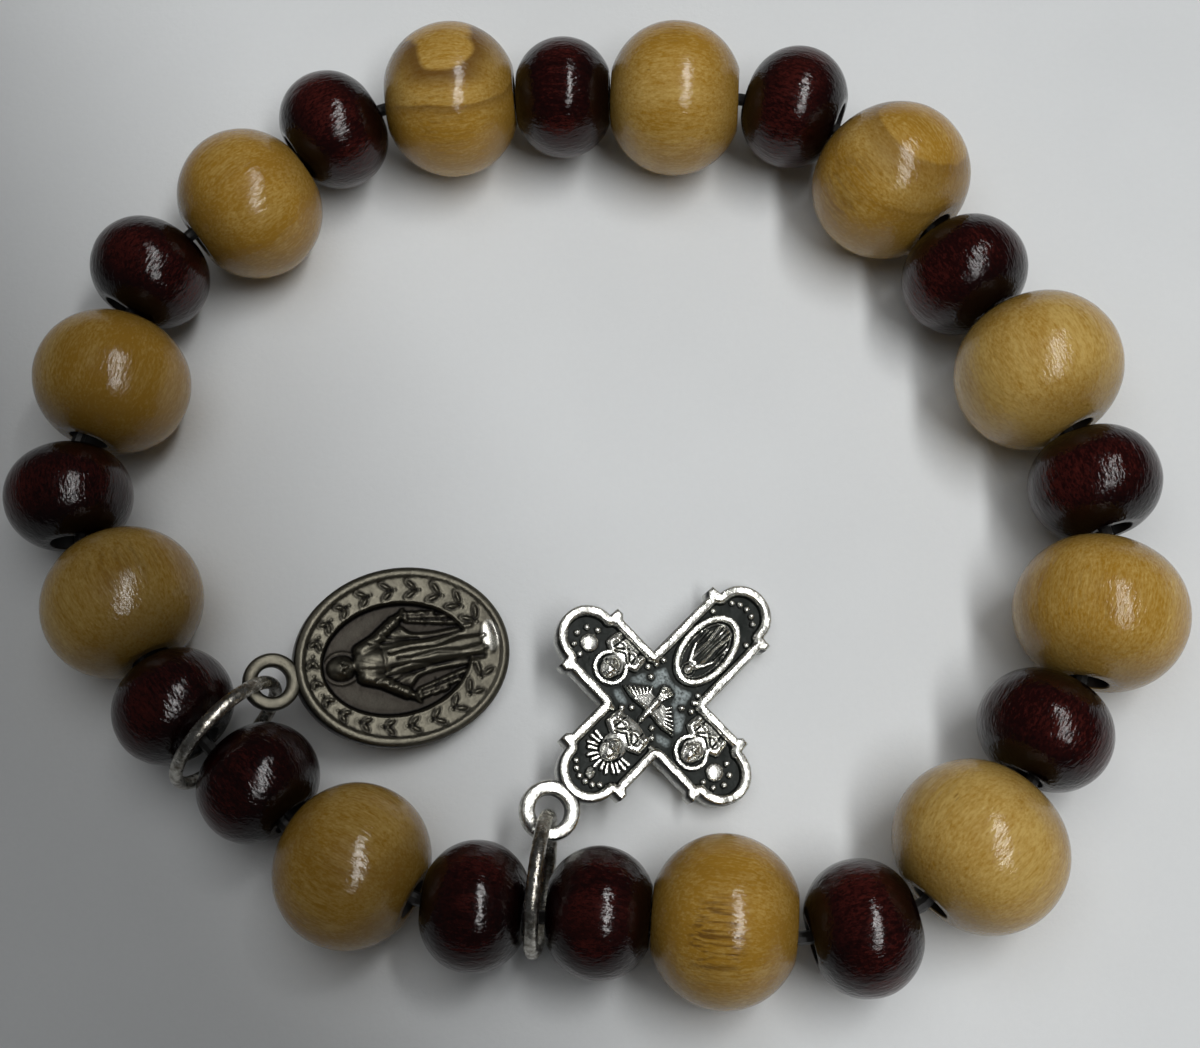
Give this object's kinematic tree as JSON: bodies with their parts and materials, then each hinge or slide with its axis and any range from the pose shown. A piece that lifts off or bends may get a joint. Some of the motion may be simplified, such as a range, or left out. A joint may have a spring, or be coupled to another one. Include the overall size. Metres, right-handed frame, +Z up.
{
  "type": "rosary bracelet",
  "caption": "Wooden bead prayer bracelet on an elastic cord: alternating natural and dark red beads, with an oval medal and a cross medal on jump rings, lying in a closed loop",
  "frame": {"origin": "the middle of the bracelet's outline, seen from above, at the height of the surface that it lies on", "axes": "+Z up from the surface; +X along the longer side of the lying loop, to the right in the picture; +Y away from the camera"},
  "size_m": [0.0708, 0.0626, 0.0104],
  "materials": {
    "natural_wood": "turned light hardwood with fine grain and a thin satin lacquer",
    "red_wood": "turned wood stained dark red under gloss varnish, with fine fibre marks",
    "elastic": "black round elastic cord, a little dull",
    "ring_metal": "plated wire, a little worn",
    "cross_metal": "cast alloy with an antique silver finish: dark in the recesses, polished on the rim",
    "oval_metal": "cast alloy with an antique silver finish, warm brown in the recesses"
  },
  "bodies": {
    "root": {"natural_bead_01": "natural_wood", "natural_bead_02": "natural_wood", "natural_bead_03": "natural_wood", "natural_bead_04": "natural_wood", "natural_bead_05": "natural_wood", "natural_bead_06": "natural_wood", "natural_bead_07": "natural_wood", "natural_bead_08": "natural_wood", "natural_bead_09": "natural_wood", "natural_bead_10": "natural_wood", "natural_bead_11": "natural_wood", "red_bead_01": "red_wood", "red_bead_02": "red_wood", "red_bead_03": "red_wood", "red_bead_04": "red_wood", "red_bead_05": "red_wood", "red_bead_06": "red_wood", "red_bead_07": "red_wood", "red_bead_08": "red_wood", "red_bead_09": "red_wood", "red_bead_10": "red_wood", "red_bead_11": "red_wood", "red_bead_12": "red_wood", "red_bead_13": "red_wood", "elastic_cord": "elastic", "cross_ring": "ring_metal", "oval_ring": "ring_metal", "cross_medal": "cross_metal", "oval_medal": "oval_metal"}
  },
  "joints": []
}
